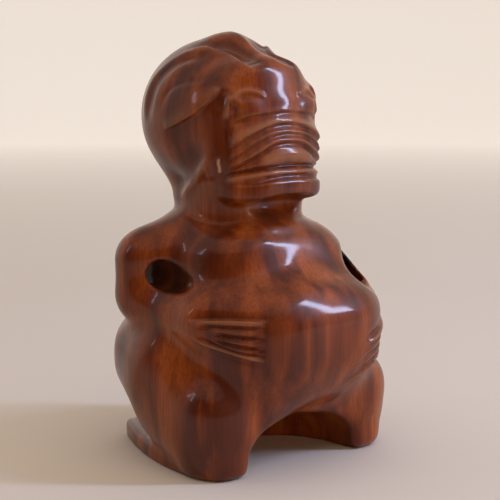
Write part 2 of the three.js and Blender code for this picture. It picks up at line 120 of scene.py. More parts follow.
@dataclass(frozen=True)
class Limb:
    """A round limb in millimetres that tapers from its start to its end."""

    start: Triple
    end: Triple
    start_radius: float
    end_radius: float
    blend: float = 0.0

    def distance(self, p: Points) -> Points:
        """Returns the distance of each point, given as three rows, to the limb."""
        way = [b - a for a, b in zip(self.start, self.end)]
        gap = [p[i] - self.start[i] for i in range(3)]
        t = sum(g * w for g, w in zip(gap, way)) / sum(w * w for w in way)
        t = np.clip(t, 0.0, 1.0)
        off = sum((g - w * t) ** 2 for g, w in zip(gap, way))
        return np.sqrt(off) - (self.start_radius + (self.end_radius - self.start_radius) * t)


class Profile(Enum):
    """Cross-section that a gouge leaves along a carved line."""

    SOFT = "soft"
    STEP = "step"


@dataclass(frozen=True)
class Cut:
    """One carved line on a relief: raised where rise is positive, a groove where it is negative.

    A STEP line is raised on its left side, seen along its points, and falls off sharply to the
    right within its width. It flows back into the surface over its fade.
    """

    points: Sequence[Pair]
    rise: float
    width: float
    profile: Profile = Profile.SOFT
    fade: float = 5.0
    ends: float = 4.0

    def smooth_points(self) -> Points:
        """Returns the line as a dense curve that passes through its points."""
        given = np.array(self.points, float)
        padded = np.vstack([2 * given[0] - given[1], given, 2 * given[-1] - given[-2]])
        steps = np.linspace(0.0, 1.0, 7)[:-1]
        curve = []
        for a, b, c, d in zip(padded, padded[1:], padded[2:], padded[3:]):
            for t in steps:
                bend = (2 * a - 5 * b + 4 * c - d) * t * t + (3 * b - a - 3 * c + d) * t ** 3
                curve.append(0.5 * (2 * b + (c - a) * t + bend))
        return np.vstack([curve, given[-1]])

    def height(self, u: Points, v: Points) -> Points:
        """Returns how far the line raises the surface at each place.

        Args:
            u: Places across the relief, in millimetres.
            v: Places up the relief, in millimetres.

        Returns:
            Heights in millimetres, of the same shape.
        """
        curve = self.smooth_points()
        lengths = np.hypot(*np.diff(curve, axis=0).T)
        starts = np.concatenate([[0.0], np.cumsum(lengths)])
        nearest = np.full(u.shape, np.inf)
        side = np.zeros(u.shape)
        along = np.zeros(u.shape)
        for (a, b), (c, d), length, start in zip(curve, curve[1:], lengths, starts):
            du, dv = (c - a) / length, (d - b) / length
            t = np.clip((u - a) * du + (v - b) * dv, 0.0, length)
            gap = np.hypot(u - a - du * t, v - b - dv * t)
            closer = gap < nearest
            nearest = np.where(closer, gap, nearest)
            side = np.where(closer, np.sign((v - b) * du - (u - a) * dv), side)
            along = np.where(closer, start + t, along)
        total = starts[-1]
        shown = ease(0.0, self.ends, along) * ease(total, total - self.ends, along)
        if self.profile is Profile.SOFT:
            return self.rise * bell(nearest, self.width) * shown
        signed = nearest * side
        step = 0.5 * np.tanh(signed / self.width)
        return self.rise * step * np.exp(-((nearest / self.fade) ** 2)) * shown


@dataclass(frozen=True)
class Relief:
    """Carving drawn on a plane and laid onto the wood behind it."""

    origin: Triple
    across: Triple
    up: Triple
    low: Pair
    high: Pair
    draw: Callable[[Points, Points], Points]
    shown: Callable[[Points], Points]
    pitch: float = 0.2

    def grid(self) -> tuple[Points, Points]:
        """Returns the relief's map of heights as a grid, with its two axes joined."""
        u = np.arange(self.low[0], self.high[0] + self.pitch, self.pitch)
        v = np.arange(self.low[1], self.high[1] + self.pitch, self.pitch)
        return np.meshgrid(u, v, indexing="ij")

    def heights(self, p: Points) -> Points:
        """Returns the carved height at each point.

        Args:
            p: Points as three rows, on the figure's left side.

        Returns:
            Heights in millimetres, 0 away from the relief.
        """
        shown = self.shown(p)
        gap = [p[i] - self.origin[i] for i in range(3)]
        u = sum(g * a for g, a in zip(gap, self.across))
        v = sum(g * a for g, a in zip(gap, self.up))
        drawn = self.draw(*self.grid())
        i = np.clip((u - self.low[0]) / self.pitch, 0, drawn.shape[0] - 1.001)
        j = np.clip((v - self.low[1]) / self.pitch, 0, drawn.shape[1] - 1.001)
        a, b = i.astype(int), j.astype(int)
        s, t = i - a, j - b
        near = drawn[a, b] * (1 - t) + drawn[a, b + 1] * t
        far = drawn[a + 1, b] * (1 - t) + drawn[a + 1, b + 1] * t
        return (near * (1 - s) + far * s) * shown


@dataclass
class Head:
    """The long head with its crest, goggle eyes, broad nose and banded mouth."""

    skull: Mass = Mass((0, 15, 177), (42.5, 48, 41.5), 2.05, 4, front_half=35)
    eye_bulge: Mass = Mass((22.8, -4.9, 182.8), (16, 17.9, 16.8), 2, 10)
    crest: Limb = Limb((0, 8, 206), (0, -12.2, 193.8), 14, 10, 9)
    crest_valley: Limb = Limb((12, 13, 246), (8, -22, 224.7), 18, 18, 8)
    forehead: Mass = Mass((0, -11.8, 193), (25, 15.3, 15.5), 2.5, 7)
    nose: Mass = Mass((0, -13, 183), (23, 17.5, 11), 2.2, 8)
    muzzle: Mass = Mass((0, -4, 160), (35.5, 30.5, 25), 2.6, 8)
    chin: Mass = Mass((0, -4, 142), (30.5, 33.5, 8.5), 3.4, 3)
    nostril: Mass = Mass((18, -23, 183.5), (8.5, 6, 5.5), 2, 5)
    nape_lobe: Limb = Limb((15.5, 29.5, 156), (17, 22, 134), 11, 9.5, 8)
    nape_groove: Limb = Limb((0, 66, 200), (0, 52, 130), 6, 10, 6)
    neck: Mass = Mass((0, 1, 134), (31.5, 32.5, 30), 2.4, 4, front_half=26.5)
    starts_at: float = 99.0

    def distance(self, p: Points) -> Points:
        """Returns the distance of each point to the head, without its relief."""
        d = join(self.skull.distance(p), self.eye_bulge.distance(p), self.eye_bulge.blend)
        steps = (
            (join, self.crest), (cut, self.crest_valley), (join, self.forehead),
            (join, self.nose),
            (join, self.muzzle), (join, self.chin), (join, self.nostril), (join, self.nape_lobe),
            (cut, self.nape_groove),
        )
        for combine, part in steps:
            d = combine(d, part.distance(p), part.blend)
        return d


@dataclass
class Body:
    """Trunk, arms and bent legs, with the plinth left in the block under the seat."""

    trunk: Mass = Mass((0, 13, 98), (47.5, 28.5, 38), 2.3)
    chest: Mass = Mass((0, -3, 99), (46, 37, 26.5), 3.1, 14)
    belly: Mass = Mass((0, -10, 69.5), (52, 55.3, 31.5), 2.85, 14)
    breast: Limb = Limb((0, -12, 100), (0, -22, 78), 23, 35, 8)
    collar: Mass = Mass((0, -14, 119.5), (27, 18.5, 7.5), 2.3, 3)
    flank: Mass = Mass((28, -8, 27), (32.5, 37, 26), 2.3, 9)
    loin: Mass = Mass((0, -31, 49), (38, 26, 20), 2.4, 15)
    upper_arm: Limb = Limb((49, 21, 104.5), (48.5, 21, 87), 16, 16, 14)
    forearm: Limb = Limb((49.5, 20.5, 84.5), (47.5, -25.5, 78), 12, 9.5, 8)
    palm: Limb = Limb((47.5, -25.5, 78), (35.5, -37.5, 76.5), 9.5, 7.5, 8)
    hips: Mass = Mass((0, 12, 50.5), (62, 52.5, 34), 2.5, 7)
    seat: Mass = Mass((0, 14, 18), (40, 26, 22), 2.4, 8)
    thigh: Limb = Limb((41, 4, 49), (44, -27.5, 35), 24.5, 16.5, 10)
    shin: Limb = Limb((44.5, -29.5, 32), (43, -24, 10), 14, 13.5, 12)
    heel: Limb = Limb((37.5, 10, 30), (42.5, -26, 15), 22, 17, 14)
    foot: Mass = Mass((41, -30.5, 6.5), (14.5, 15, 8), 2.6, 4)
    instep: Mass = Mass((46, -57, 15), (12, 10, 6.5), 2, 3)
    leg_arch: Mass = Mass((0, -42, 0), (34, 50, 25), 2.7, 4)
    chin_hollow: Mass = Mass((0, -38, 132.5), (23.5, 20, 7.2), 2.3, 2)
    arm_dish: Mass = Mass((66, -8, 98), (9, 18, 13), 2, 7)
    plinth_half_widths: Pair = (57.0, 37.5)
    plinth_taper: Pair = (-12.0, 58.0)
    plinth_front: float = -20.0
    plinth_height: float = 9.0
    plinth_bow: float = 1.8
    plinth_edge: float = 3.0
    plinth_blend: float = 2.0
    hole_front: Pair = (52.0, -8.0)
    hole_back: Pair = (51.5, 36.0)
    hole_halves: Pair = (6.0, 5.2)
    hole_z: float = 98.7
    hole_half_height: float = 7.6
    hole_end: float = 12.0
    hole_blend: float = 2.0

    def distance(self, p: Points) -> Points:
        """Returns the distance of each point to trunk, arms and legs, before the hollows."""
        arm = join(self.upper_arm.distance(p), self.forearm.distance(p), self.forearm.blend)
        arm = join(arm, self.palm.distance(p), self.palm.blend)
        leg = join(self.thigh.distance(p), self.shin.distance(p), self.shin.blend)
        leg = join(leg, self.heel.distance(p), self.heel.blend)
        leg = join(leg, self.foot.distance(p), self.foot.blend)
        d = join(self.trunk.distance(p), self.chest.distance(p), self.chest.blend)
        d = join(d, self.belly.distance(p), self.belly.blend)
        d = join(d, self.breast.distance(p), self.breast.blend)
        d = join(d, self.collar.distance(p), self.collar.blend)
        d = join(d, arm, self.upper_arm.blend)
        d = join(d, self.hips.distance(p), self.hips.blend)
        d = join(d, self.seat.distance(p), self.seat.blend)
        d = join(d, leg, self.thigh.blend)
        d = join(d, self.flank.distance(p), self.flank.blend)
        return join(d, self.loin.distance(p), self.loin.blend)

    def plinth(self, p: Points) -> Points:
        """Returns the distance to the thin plinth, which narrows towards the back."""
        x, y, z = p
        start, stop = self.plinth_taper
        wide, narrow = self.plinth_half_widths
        taper = np.clip((y - start) / (stop - start), 0.0, 1.0) ** self.plinth_bow
        sides = (x - (wide - (wide - narrow) * taper), self.plinth_front - y, y - stop)
        d = np.abs(z) - self.plinth_height
        for side in sides:
            d = -join(-d, -side, self.plinth_edge)
        return d

    def arm_hole(self, p: Points) -> Points:
        """Returns the distance to the hole behind the arm, rounded off at the chest."""
        x, y, z = p
        t = (y - self.hole_front[1]) / (self.hole_back[1] - self.hole_front[1])
        middle = self.hole_front[0] + (self.hole_back[0] - self.hole_front[0]) * t
        half = self.hole_halves[0] + (self.hole_halves[1] - self.hole_halves[0]) * np.clip(t, 0, 1)
        ahead = np.maximum(self.hole_front[1] - y, 0) / self.hole_end
        aside = (x - middle) / half
        above = (z - self.hole_z) / self.hole_half_height
        return (np.sqrt(aside ** 2 + above ** 2 + ahead ** 2) - 1.0) * half


@dataclass(frozen=True)
class Crook:
    """The crook of the left arm: a thin rim in front of its hole, which opens beside the chest."""

    chest_hollow: Mass = Mass((56.5, -43.5, 99.5), (19.6, 23.5, 14), 2.2, 5)
    rim: Limb = Limb((52.6, 3, 112), (56.8, -27.2, 86), 5.2, 5.2, 4)
    opening: Limb = Limb((50.6, -6, 103), (54.9, -27.5, 88), 5.2, 4.4, 1)

    def add(self, d: Points, points: Points) -> Points:
        """Returns the figure's distances with the crook carved on its left side.

        Args:
            d: Distances of the figure without the crook.
            points: The same points as three rows, with the left side at positive x.

        Returns:
            The changed distances.
        """
        left = points[0] > 0
        p = points[:, left]
        crook = cut(d[left], self.chest_hollow.distance(p), self.chest_hollow.blend)
        crook = join(crook, self.rim.distance(p), self.rim.blend)
        d = d.copy()
        d[left] = cut(crook, self.opening.distance(p), self.opening.blend)
        return d


@dataclass
class EyeCarving:
    """The goggle eye: brow edge, socket groove, soft ring, almond ball and overhanging lower lid."""

    origin: Triple = (40, -2, 188)
    out: Triple = (0.9013, -0.3605, 0.2403)
    across: Triple = (-0.3483, -0.9328, -0.0929)
    up: Triple = (-0.2577, 0, 0.9662)
    depth: Pair = (-46.0, -38.0)
    parting: Pair = (1.0, 8.0)
    ball_centre: Pair = (1.0, -3.0)
    ball_tilt: float = 34.0
    ball_size: Pair = (14.0, 8.0)
    ball_rise: float = 0.35
    brow: Cut = Cut(
        ((31.2, 20.3), (28.3, 20.5), (24.4, 22.1), (18.7, 24.5), (11.9, 27.3), (6.7, 28.6), (2, 29.4),
         (-2.7, 29.4), (-8, 27.8), (-13, 24)),
        1.3, 0.5, Profile.STEP, 3.8, 9.0,
    )
    scoop: Cut = Cut(
        ((30.5, 22.6), (25.1, 25.9), (18.1, 29.5), (12.1, 31.3), (6.6, 32.7), (0, 32.6), (-5, 30.5)),
        -2.0, 2.6, ends=6.0,
    )
    scoop_top: Cut = Cut(((26, 26.5), (17, 31), (11, 33.6), (5, 35), (-2, 34.5)), -0.7, 2.4, ends=8.0)
    rim: Cut = Cut(
        ((2, 28.8), (-4, 28), (-10.8, 25), (-16.4, 21.6), (-24, 15.6), (-29.7, 9.6), (-32.3, 2),
         (-32, -6.2), (-30, -14)),
        0.7, 1.8, ends=8.0,
    )
    socket: Cut = Cut(
        ((3.5, 22.2), (-0.4, 23), (-6.6, 22.4), (-12.3, 20.3), (-18.4, 16.6), (-23.7, 11.4),
         (-27, 5), (-28, -1.5), (-27.6, -8), (-25.4, -15)),
        -1.3, 2.1, ends=14.0,
    )
    ring: Cut = Cut(
        ((1, 14.8), (-2.3, 15), (-8.5, 14.2), (-13.6, 11.3), (-18, 6.4), (-20.6, 0.3),
         (-21.4, -5.6), (-21.5, -12)),
        0.4, 2.5, ends=14.0,
    )
    upper_lid: Cut = Cut(
        ((9.2, 10.3), (3, 9.2), (-3.9, 7.8), (-9.1, 6), (-13, 3), (-15.6, -1.5),
         (-16.5, -9)),
        -0.5, 1.2, ends=10.0,
    )
    lower_lid: Cut = Cut(
        ((18.6, 8.5), (17.7, 5.8), (16.5, 3.2), (12.7, -2.2), (9.9, -5), (5.9, -8.2), (1.4, -10.6),
         (-3.3, -13), (-8.2, -15.1), (-14, -17.2)),
        -1.7, 0.4, Profile.STEP, 4.5, 4.0,
    )
    under_lid: Cut = Cut(((-14, -22), (-5, -18), (3, -14.5), (10, -9.5), (16, -3)), -0.4, 3.0, ends=8.0)

    def draw(self, u: Points, v: Points) -> Points:
        """Returns the carved heights over the eye's plane."""
        tilt = math.radians(self.ball_tilt)
        du, dv = u - self.ball_centre[0], v - self.ball_centre[1]
        long = (du * math.cos(tilt) + dv * math.sin(tilt)) / self.ball_size[0]
        tall = (dv * math.cos(tilt) - du * math.sin(tilt)) / self.ball_size[1]
        height = self.ball_rise * bell(np.hypot(long, tall), 1.0)
        lines = (self.brow, self.scoop, self.scoop_top, self.rim, self.socket, self.ring,
                 self.upper_lid, self.lower_lid, self.under_lid)
        return height + sum(line.height(u, v) for line in lines)

    def shown(self, p: Points) -> Points:
        """Returns 1 on the side of the head that the eye is drawn on, easing to 0 at the parting."""
        out = sum((p[i] - self.origin[i]) * self.out[i] for i in range(3))
        return ease(*self.depth, out) * ease(*self.parting, p[0])

    def relief(self) -> Relief:
        """Returns the eye as a relief on the side of the head."""
        return Relief(self.origin, self.across, self.up, (-48, -40), (48, 44), self.draw, self.shown)


@dataclass
class MouthCarving:
    """The face from nostrils to chin: upper lip folds, tongue and lower lip, with a crease beside them.

    Lines are drawn on the front of the muzzle as (across, up). They start past the middle, so that
    both sides meet there without a break.
    """

    folds: tuple[Cut, ...] = (
        Cut(((-6, 180.7), (0, 180.8), (7, 180.6), (13.6, 180), (19.6, 179.1), (25.5, 177.4), (30, 175)),
            1.4, 0.4, Profile.STEP, 2.2),
        Cut(((-6, 174.4), (0, 175), (8, 174.4), (16, 171.9), (23, 168.8), (28.5, 165.1), (33, 161.5)),
            2.2, 0.45, Profile.STEP, 2.4),
        Cut(((-6, 169.9), (0, 170.4), (10, 169.3), (15.5, 167.6), (22, 164.4), (26, 161.3), (33, 156)),
            1.9, 0.4, Profile.STEP, 2.1),
    )
    ridges: tuple[Cut, ...] = (
        Cut(((-6, 177.2), (0, 177.5), (8.8, 176.6), (18.7, 173.3), (27.2, 168.8), (33, 165)), 0.5, 1.6),
        Cut(((-6, 166.4), (0, 166.9), (8.5, 166.3), (13.8, 164.2), (19, 161.4), (27.3, 156.3), (33, 151.6)),
            0.9, 0.8),
        Cut(((-12, 157.6), (0, 159.2), (12, 157.6), (21, 154.8)), 1.3, 2.7, ends=8.0),
        Cut(((-6, 150.4), (0, 150.5), (9, 150.3), (16.5, 150), (21.5, 149.3), (26, 148.4), (33, 146.6)),
            1.4, 1.1),
        Cut(((-12, 145.4), (0, 146.3), (10, 145.6), (20, 144)), 0.5, 1.0, ends=8.0),
    )
    grooves: tuple[Cut, ...] = (
        Cut(((-6, 164.2), (0, 164.8), (8.5, 164), (13, 162), (18.3, 159), (25.8, 154.8), (33, 149.6)),
            -1.4, 0.7),
        Cut(((-6, 153.5), (0, 153.6), (8, 153.4), (16, 152.8), (21, 152), (25.3, 151.2), (33, 149.3)),
            -2.0, 0.75),
        Cut(((-6, 148.5), (0, 148.6), (7, 148.4), (12, 147.9), (17, 147), (22, 146.4), (29, 145.2)),
            -1.2, 0.6),
    )
    nose_lines: tuple[Cut, ...] = (
        Cut(((27.4, 184), (26.8, 186.4), (25.6, 188.4), (23.5, 190.2), (20.6, 191.2), (18, 191.3),
             (15.4, 190.7), (13.3, 189.9), (10, 188)), 1.0, 0.85, ends=4.0),
        Cut(((25.6, 184.2), (24.6, 186.4), (22.6, 188.1), (20.2, 188.9), (17.5, 188.9), (14, 187.6)),
            -0.8, 0.8, ends=5.0),
        Cut(((27.6, 187), (27.1, 183), (26.7, 180), (26.5, 176)), -1.4, 0.75, ends=3.0),
        Cut(((27.8, 191), (28.4, 187.7), (29.1, 184.6), (29.7, 181), (30.2, 176.5)), 1.4, 1.0, ends=4.0),
        Cut(((30.6, 191), (32, 186), (33, 180)), -0.8, 1.8, ends=5.0),
    )
    end: float = 30.6
    end_fade: float = 2.6
    crease_x: float = 30.6
    crease_depth: float = 1.0
    crease_width: float = 0.9
    crease_reach: Pair = (147.0, 174.0)
    front: Pair = (-6.0, -14.0)

    def draw(self, x: Points, z: Points) -> Points:
        """Returns the carved heights over the muzzle, seen from the front."""
        height = sum(line.height(x, z) for line in self.folds + self.ridges + self.grooves)
        low, high = self.crease_reach
        beside = ease(low - 3, low + 3, z) * ease(high + 3, high - 3, z)
        crease = self.crease_depth * bell(x - self.crease_x, self.crease_width) * beside
        nose = sum(line.height(x, z) for line in self.nose_lines)
        return height * ease(self.end, self.end - self.end_fade, x) - crease + nose

    def shown(self, p: Points) -> Points:
        """Returns 1 on the front of the muzzle, easing to 0 towards its sides."""
        return ease(*self.front, p[1])

    def relief(self) -> Relief:
        """Returns the mouth as a relief seen from the front."""
        return Relief((0, 0, 0), (1, 0, 0), (0, 0, 1), (0, 125), (44, 205), self.draw, self.shown)


@dataclass
class HandCarving:
    """A hand laid on the belly: its five fingers part in nested notches and fan out from the wrist.

    Lines are drawn as (along the hand, height).
    """

    wrist: Pair = (59.0, -27.0)
    tips: Pair = (37.5, -54.6)
    edges: tuple[Cut, ...] = (
        Cut(((-2, 80.4), (6, 81.6), (14, 81.9), (25, 82.1), (35, 82), (42, 81.6)),
            -2.0, 0.4, Profile.STEP, 3.6, 9.0),
        Cut(((-2, 74.4), (7, 69.9), (13.6, 67.7), (23.7, 65), (35, 62.1), (42, 60.6)),
            2.0, 0.4, Profile.STEP, 3.6, 9.0),
    )
    grooves: tuple[Pair, ...] = (
        ((3, 77.6), (10.8, 79.2), (22.2, 78.9), (40, 78.7)),
        ((12, 75.5), (17.4, 74.9), (25.6, 73.8), (40, 73.6)),
        ((13, 73.2), (18.9, 70.9), (25.6, 69.4), (40, 67.6)),
        ((3.3, 74.6), (10.5, 71.3), (17, 69.1), (26.9, 66.4), (40, 64.7)),
    )
    fingers: tuple[Pair, ...] = (
        ((5, 80.2), (20, 80.6), (39, 80.3)),
        ((9, 77.3), (20, 76.7), (39, 76.2)),
        ((16, 73), (25, 71.7), (39, 70.6)),
        ((12, 72), (20, 69.4), (27, 67.9), (39, 66.2)),
        ((5, 72.4), (13, 69), (25, 65.7), (39, 63)),
    )
    groove: float = -1.7
    groove_width: float = 0.6
    finger: float = 0.6
    finger_width: float = 1.2
    tip_fade: float = 7.0
    front: Pair = (0.0, -8.0)
    left_shift: Triple = (7.0, 9.0, 6.0)
    left_slant: float = 0.3

    def draw(self, u: Points, z: Points) -> Points:
        """Returns the carved heights over the side of the belly."""
        height = sum(line.height(u, z) for line in self.edges)
        for ways, rise, width in (
            (self.grooves, self.groove, self.groove_width), (self.fingers, self.finger, self.finger_width),
        ):
            height += sum(Cut(way, rise, width, ends=self.tip_fade).height(u, z) for way in ways)
        return height

    def shown(self, p: Points) -> Points:
        """Returns 1 on the front of the figure, easing to 0 at its side."""
        return ease(*self.front, p[1])

    def placed(self, p: Points, left: Points) -> Points:
        """Moves the left hand further round the belly and lets its fingers point lower.

        Args:
            p: Points folded onto the left side, as three rows.
            left: Whether each point is on the figure's own left.

        Returns:
            The points at which the hand is looked up.
        """
        moved = p + np.array(self.left_shift)[:, None] * left
        along = np.hypot(moved[0] - self.wrist[0], moved[1] - self.wrist[1])
        moved[2] += self.left_slant * along * left
        return moved

    def relief(self) -> Relief:
        """Returns the hand as a relief on an upright plane from wrist to finger tips."""
        way = Vector(self.tips) - Vector(self.wrist)
        way.normalize()
        return Relief((*self.wrist, 0), (way[0], way[1], 0), (0, 0, 1), (-6, 52), (48, 92), self.draw, self.shown)


@dataclass
class JawCarving:
    """The edge where the back of the head meets the neck, with a hollow above it."""

    edge: tuple[Pair, ...] = ((-18, 161), (-12, 156), (-5, 149.5), (3, 144), (10, 139), (17, 133))
    ridge: float = 1.3
    ridge_width: float = 1.6
    hollow: float = 1.6
    hollow_width: float = 5.0
    hollow_shift: float = 6.0
    ends: float = 12.0
    sides: Pair = (22.0, 28.0)

    def draw(self, y: Points, z: Points) -> Points:
        """Returns the carved heights over the side of the jaw."""
        ridge = Cut(self.edge, self.ridge, self.ridge_width, ends=self.ends)
        above = tuple((y0 + self.hollow_shift, z0 + self.hollow_shift) for y0, z0 in self.edge)
        hollow = Cut(above, -self.hollow, self.hollow_width, ends=self.ends)
        return ridge.height(y, z) + hollow.height(y, z)

    def shown(self, p: Points) -> Points:
        """Returns 1 at the side of the jaw, easing to 0 under the chin."""
        return ease(*self.sides, p[0])

    def relief(self) -> Relief:
        """Returns the jaw as a relief seen from the side."""
        return Relief((0, 0, 0), (0, 1, 0), (0, 0, 1), (-45, 105), (60, 190), self.draw, self.shown, 0.4)


@dataclass
class Figure:
    """The whole figure as one finely carved piece, over the same form as its solid."""

    head: Head
    body: Body
    eye: EyeCarving
    mouth: MouthCarving
    jaw: JawCarving
    hand: HandCarving
    crook: Crook = Crook()
    centring: Triple = (2.3389, -0.4262, 0.0)
    lean_out: float = 5.0
    lean_forward: float = 2.5
    lean_side: Pair = (5.0, 45.0)
    lean_height: Pair = (96.0, 122.0)
    sole_edge: float = 1.6
    nick: tuple[Pair, ...] = ((32.9, 159.6), (33.1, 156.2), (32.6, 153.1), (31.8, 149.2))
    nick_depth: float = -0.5
    nick_width: float = 0.4
    nick_front: float = -10.0
    shelter: Pair = (0.9, -0.6)
    shelter_front: float = -20.0
    voxel: float = 1.5
    slope_step: float = 0.15

    def sided(self, p: Points) -> Points:
        """Folds points onto the left side, where the arm and leg sit a little wider and forward.

        Args:
            p: Points of the figure as three rows, in millimetres.

        Returns:
            The same points, mirrored to the left side.
        """
        lean = ease(*self.lean_side, p[0]) * (1.0 - ease(*self.lean_height, p[2]))
        return np.stack([np.abs(p[0] - self.lean_out * lean), p[1] + self.lean_forward * lean, p[2]])

    def distance(self, points: Points) -> Points:
        """Returns the distance of each point to the figure, without its relief."""
        p = self.sided(points)
        d = join(self.body.distance(p), self.head.neck.distance(p), self.head.neck.blend)
        upper = p[2] > self.head.starts_at
        d[upper] = join(d[upper], self.head.distance(p[:, upper]), self.head.skull.blend)
        d = join(d, self.body.plinth(p), self.body.plinth_blend)
        for hollow in (self.body.leg_arch, self.body.instep, self.body.arm_dish, self.body.chin_hollow):
            d = cut(d, hollow.distance(p), hollow.blend)
        d = cut(d, self.body.arm_hole(p), self.body.hole_blend)
        d = self.crook.add(d, points)
        return -join(-d, p[2], self.sole_edge)

    def slope(self, points: Points) -> Points:
        """Returns the direction in which the distance grows, as three rows."""
        rows = []
        for axis in range(3):
            shift = np.zeros((3, 1))
            shift[axis] = self.slope_step
            rows.append(self.distance(points + shift) - self.distance(points - shift))
        return np.stack(rows) / (2.0 * self.slope_step)

    def settle(self, points: Points, rounds: int) -> Points:
        """Moves points onto the figure's surface.

        Args:
            points: Points near the surface as three rows.
            rounds: How many times to step along the slope.

        Returns:
            The moved points.
        """
        for _ in range(rounds):
            slope = self.slope(points)
            steepness = np.maximum((slope ** 2).sum(0), 1e-2)
            points = points - slope * np.clip(self.distance(points) / steepness, -1.0, 1.0)
        return points

    def relief_heights(self, points: Points) -> Points:
        """Returns how far the carving stands out at each point of the surface."""
        p = self.sided(points)
        height = np.zeros(p.shape[1])
        upper = p[2] > 120.0
        for relief in (self.eye.relief(), self.mouth.relief()):
            height[upper] += relief.heights(p[:, upper])
        joined = ease(118.0, 126.0, p[2])
        height += self.jaw.relief().heights(p) * joined
        lower = ~upper
        held = self.hand.placed(p[:, lower], points[0, lower] > 0)
        height[lower] += self.hand.relief().heights(held)
        return height + self.nick_heights(points)

    def nick_heights(self, points: Points) -> Points:
        """Returns the depth of the small nick in the right cheek, as negative heights."""
        near = (points[0] < 0) & (points[1] < self.nick_front)
        nick = Cut(self.nick, self.nick_depth, self.nick_width, ends=2.5)
        height = np.zeros(points.shape[1])
        height[near] = nick.height(-points[0][near], points[2][near])
        return height

    def hole_shade_and_matt(self, points: Points) -> Points:
        """Returns 1 deep in the holes behind the arms, easing to 0: there the colour is painted shade, near
        black, and the finish is rougher.
        """
        deep = np.minimum(self.body.arm_hole(self.sided(points)), self.crook.opening.distance(points))
        return ease(*self.shelter, deep)

    def fine_zone(self, points: Points) -> Points:
        """Returns which points lie where the carving needs a finer mesh."""
        x, y, z = self.sided(points)
        face = (z > 137) & (y < -4)
        eyes = (z > 162) & (x > 12) & (y < 30)
        hands = (np.abs(z - 70) < 18) & (y < -20) & (x > 26) & (x + y < 30)
        return face | eyes | hands

    def nick_zone(self, points: Points) -> Points:
        """Returns which points lie around the small nick in the right cheek."""
        x, y, z = points
        return (np.abs(x + 33.0) < 4.0) & (y < self.nick_front) & (np.abs(z - 154.5) < 8.0)

    def coarse_mesh(self, node: bpy.types.Object) -> bpy.types.Mesh:
        """Returns an even mesh of squares over a merged copy of the solid.

        Args:
            node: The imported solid's object.

        Returns:
            A new closed mesh.
        """
        copy = bpy.data.objects.new("copy", node.data.copy())
        bpy.context.scene.collection.objects.link(copy)
        bm = bmesh.new()
        bm.from_mesh(copy.data)
        bmesh.ops.remove_doubles(bm, verts=bm.verts, dist=1e-6)
        bm.to_mesh(copy.data)
        bm.free()
        remesh = copy.modifiers.new("even squares", "REMESH")
        remesh.mode = "VOXEL"
        remesh.voxel_size = self.voxel * MM
        evaluated = copy.evaluated_get(bpy.context.evaluated_depsgraph_get())
        mesh = bpy.data.meshes.new_from_object(evaluated)
        bpy.data.objects.remove(copy)
        return mesh

    def build(self, node: bpy.types.Object) -> bpy.types.Object:
        """Carves the figure and returns its object.

        Args:
            node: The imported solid's object.

        Returns:
            The finished piece, at the origin, with its place in its mesh.
        """
        mesh = self.coarse_mesh(node)
        bm = bmesh.new()
        bm.from_mesh(mesh)
        self.move(bm, self.settle(self.read(bm), 4))
        for zone in (self.fine_zone, self.nick_zone, self.nick_zone):
            fine = zone(self.read(bm))
            edges = [e for e in bm.edges if fine[e.verts[0].index] and fine[e.verts[1].index]]
            bmesh.ops.subdivide_edges(bm, edges=edges, cuts=1, use_grid_fill=True)
        points = self.settle(self.read(bm), 3)
        slope = self.slope(points)
        slope /= np.maximum(np.linalg.norm(slope, axis=0), 1e-6)
        height = self.relief_heights(points)
        self.move(bm, points + slope * height)
        bmesh.ops.recalc_face_normals(bm, faces=bm.faces)
        for face in bm.faces:
            face.smooth = True
        bm.to_mesh(mesh)
        bm.free()
        mesh.materials.clear()
        marks = {
            "carved": height,
            # Mask deep in the arm holes, for the painted shade and the rougher finish.
            "hole_shade_and_matt": self.hole_shade_and_matt(points) * (points[1] > self.shelter_front - 10.0 * (points[0] > 0)),
            "bare": np.clip(self.nick_heights(points) / self.nick_depth, 0.0, 1.0),
        }
        for name, values in marks.items():
            mark = mesh.attributes.new(name, "FLOAT", "POINT")
            mark.data.foreach_set("value", values.astype(np.float32))
        piece = bpy.data.objects.new("carved_figure", mesh)
        bpy.context.scene.collection.objects.link(piece)
        return piece

    def read(self, bm: bmesh.types.BMesh) -> Points:
        """Returns the vertices as three rows in the carver's millimetres."""
        bm.verts.index_update()
        rows = np.array([v.co for v in bm.verts]).T / MM
        return rows + np.array(self.centring)[:, None]

    def move(self, bm: bmesh.types.BMesh, points: Points) -> None:
        """Moves the vertices to points given in the carver's millimetres."""
        places = (points - np.array(self.centring)[:, None]).T * MM
        for vertex, place in zip(bm.verts, places):
            vertex.co = place


def linear(hex_colour: str) -> tuple[float, float, float, float]:
    """Turns an sRGB hex colour into linear red, green, blue and alpha.

    Args:
        hex_colour: Colour such as "#6e3a20".

    Returns:
        Linear values from 0 to 1.
    """
    values = (int(hex_colour[i:i + 2], 16) / 255 for i in (1, 3, 5))
    red, green, blue = (v / 12.92 if v <= 0.04045 else ((v + 0.055) / 1.055) ** 2.4 for v in values)
    return red, green, blue, 1.0


def add_node(tree: bpy.types.NodeTree, kind: str, settings: dict, links: dict) -> bpy.types.Node:
    """Adds a node with its settings and links.

    Args:
        tree: The material's node tree.
        kind: Blender's name of the node.
        settings: Values by socket name, or by property name where no socket has it.
        links: Output sockets to plug in, by input socket name or number.

    Returns:
        The new node.
    """
    node = tree.nodes.new(kind)
    for name, value in settings.items():
        if hasattr(node, str(name)):
            setattr(node, name, value)
        else:
            node.inputs[name].default_value = value
    for name, socket in links.items():
        tree.links.new(socket, node.inputs[name])
    return node


